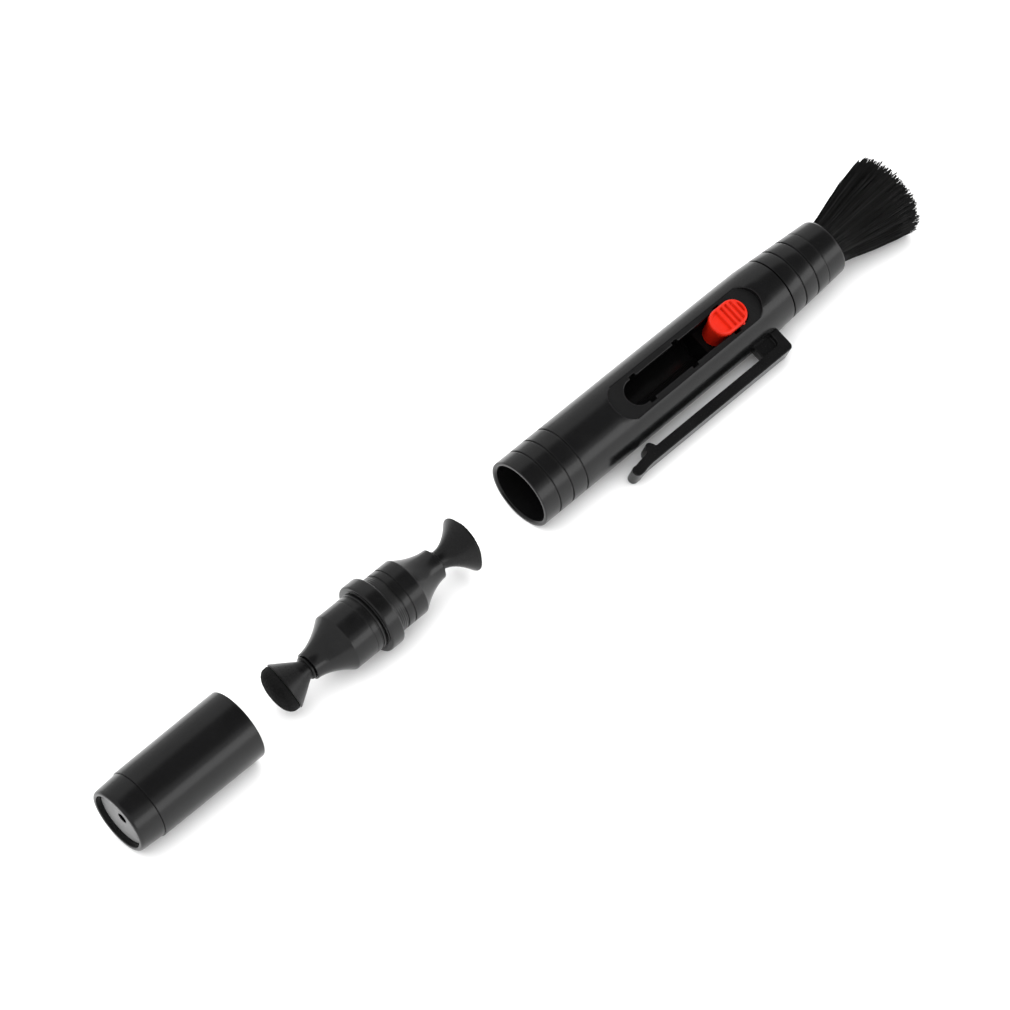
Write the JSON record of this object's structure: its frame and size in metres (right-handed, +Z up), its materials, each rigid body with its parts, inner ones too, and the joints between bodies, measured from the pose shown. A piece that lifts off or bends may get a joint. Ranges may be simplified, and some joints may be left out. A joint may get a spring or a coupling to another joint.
{
  "type": "lens cleaning pen",
  "caption": "Lens cleaning pen in three pulled-apart sections: cap, double-ended cleaning tip, and barrel with slide-out brush and pocket clip.",
  "frame": {"origin": "middle of the pulled-apart pen's box, on the surface that it lies on", "axes": "+X along the pen axis, from the cap towards the brush; +Z up"},
  "size_m": [0.2058, 0.0204, 0.0159],
  "materials": {
    "gloss_black": "moulded black plastic, semi-gloss",
    "satin_black": "moulded black plastic, satin",
    "red_plastic": "moulded red plastic, ribbed",
    "grey_plastic": "moulded mid-grey plastic, satin",
    "soft_rubber": "soft black rubber, matt",
    "cleaning_suede": "carbon-loaded black microfibre suede",
    "bristle_fibre": "fine soft black brush hair",
    "ferrule_metal": "drawn and crimped thin tube",
    "carbon_felt": "felt charged with carbon powder"
  },
  "bodies": {
    "barrel": {"barrel_shell": "gloss_black", "nose_collar": "gloss_black", "socket_floor": "satin_black", "clip_root": "gloss_black"},
    "clip": {"pocket_clip": "gloss_black"},
    "brush_unit": {"slide_button": "red_plastic", "brush_carrier": "satin_black", "brush_ferrule": "ferrule_metal", "brush_bristles": "bristle_fibre"},
    "tip_unit": {"tip_holder_front": "satin_black", "tip_holder_rear": "satin_black", "flange_ring": "satin_black", "joining_stud": "satin_black"},
    "front_tip": {"front_tip_cone": "soft_rubber", "front_pad": "cleaning_suede"},
    "rear_tip": {"rear_tip_cone": "soft_rubber", "rear_pad": "cleaning_suede"},
    "cap": {"cap_shell": "gloss_black", "cap_end_disc": "grey_plastic", "sponge_holder": "satin_black", "carbon_sponge": "carbon_felt"}
  },
  "joints": [
    {"name": "brush_slide", "type": "slide", "parent": "barrel", "child": "brush_unit", "axis": [1, 0, 0], "range_m": [-0.0232, 0], "deforming": ["brush_bristles"]},
    {"name": "tip_slide", "type": "slide", "parent": "barrel", "child": "tip_unit", "axis": [1, 0, 0], "range_m": [0, 0.0369]},
    {"name": "cap_slide", "type": "slide", "parent": "tip_unit", "child": "cap", "axis": [1, 0, 0], "range_m": [0, 0.0321]},
    {"name": "clip_flex", "type": "hinge", "parent": "barrel", "child": "clip", "pos_m": [0.057, -0.00791, 0.00268], "axis": [0, -0.4421, 0.897], "range_deg": [0, 4], "stiffness_Nm_per_rad": 0.6},
    {"name": "front_tip_tilt", "type": "hinge", "parent": "tip_unit", "child": "front_tip", "pos_m": [-0.05635, 0.00187, 0.0075], "axis": [0, 0.8192, 0.5736], "range_deg": [-5, 19], "stiffness_Nm_per_rad": 0.02},
    {"name": "rear_tip_tilt", "type": "hinge", "parent": "tip_unit", "child": "rear_tip", "pos_m": [-0.02195, 0.00187, 0.0075], "axis": [0, -0.5736, 0.8192], "range_deg": [-15, 9], "stiffness_Nm_per_rad": 0.02}
  ]
}
